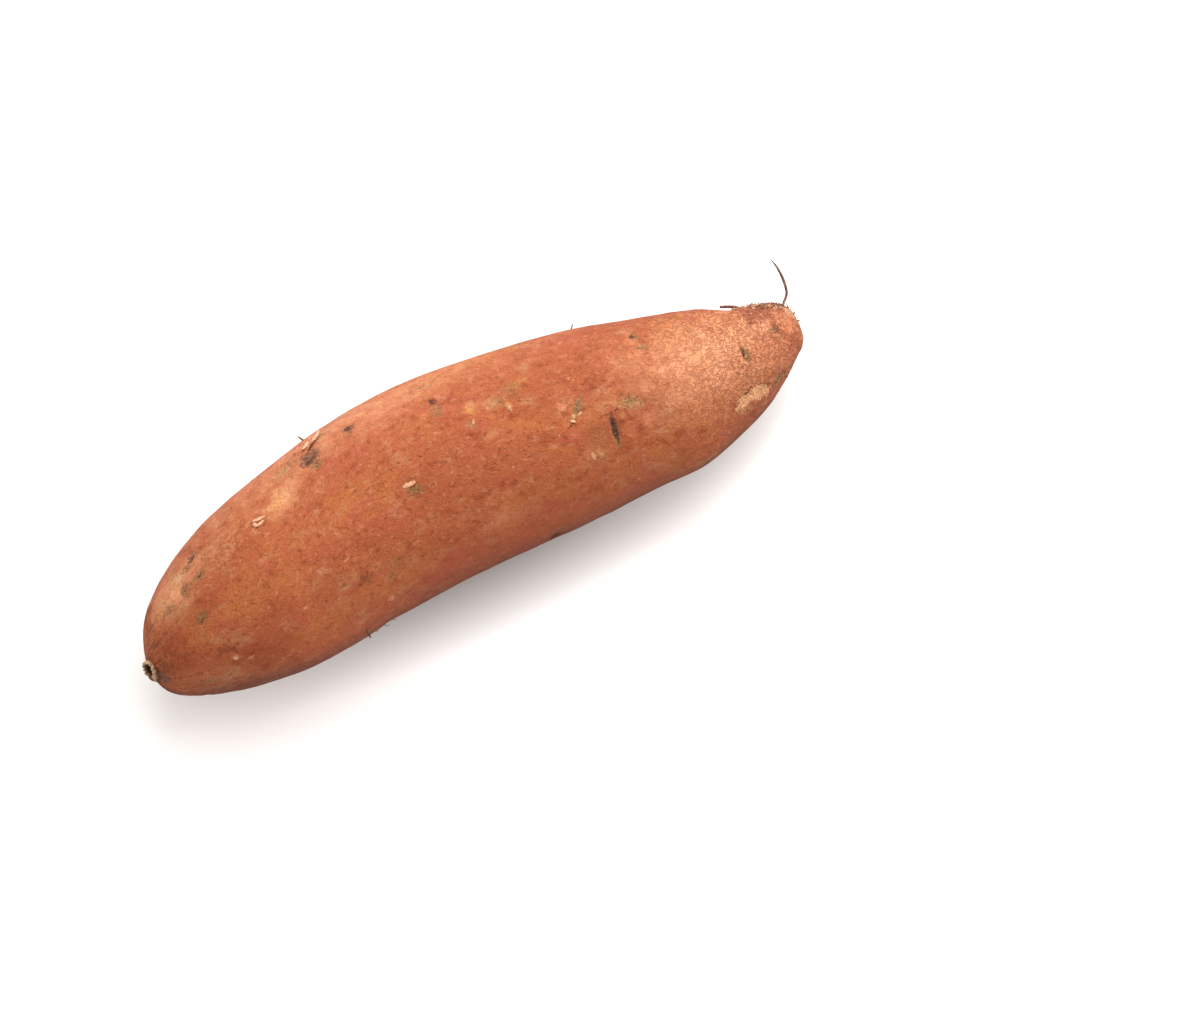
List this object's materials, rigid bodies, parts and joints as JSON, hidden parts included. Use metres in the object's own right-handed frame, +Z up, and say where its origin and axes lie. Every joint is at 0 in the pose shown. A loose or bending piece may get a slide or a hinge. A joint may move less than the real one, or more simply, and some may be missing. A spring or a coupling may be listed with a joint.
{
  "type": "sweet potato",
  "caption": "Whole raw sweet potato: a bowed storage root, tapered at both ends, with a corky stem scar, wiry rootlets and a small flat underside it rests on.",
  "frame": {"origin": "middle of the bounding box at the level of the surface it rests on", "axes": "+X along the root from the stem scar to the tail, +Y sideways to the convex side, +Z up from the surface it rests on"},
  "size_m": [0.2268, 0.0668, 0.0574],
  "materials": {
    "sweet_potato_skin": null
  },
  "bodies": {
    "root": {"sweet_potato": "sweet_potato_skin"}
  },
  "joints": []
}
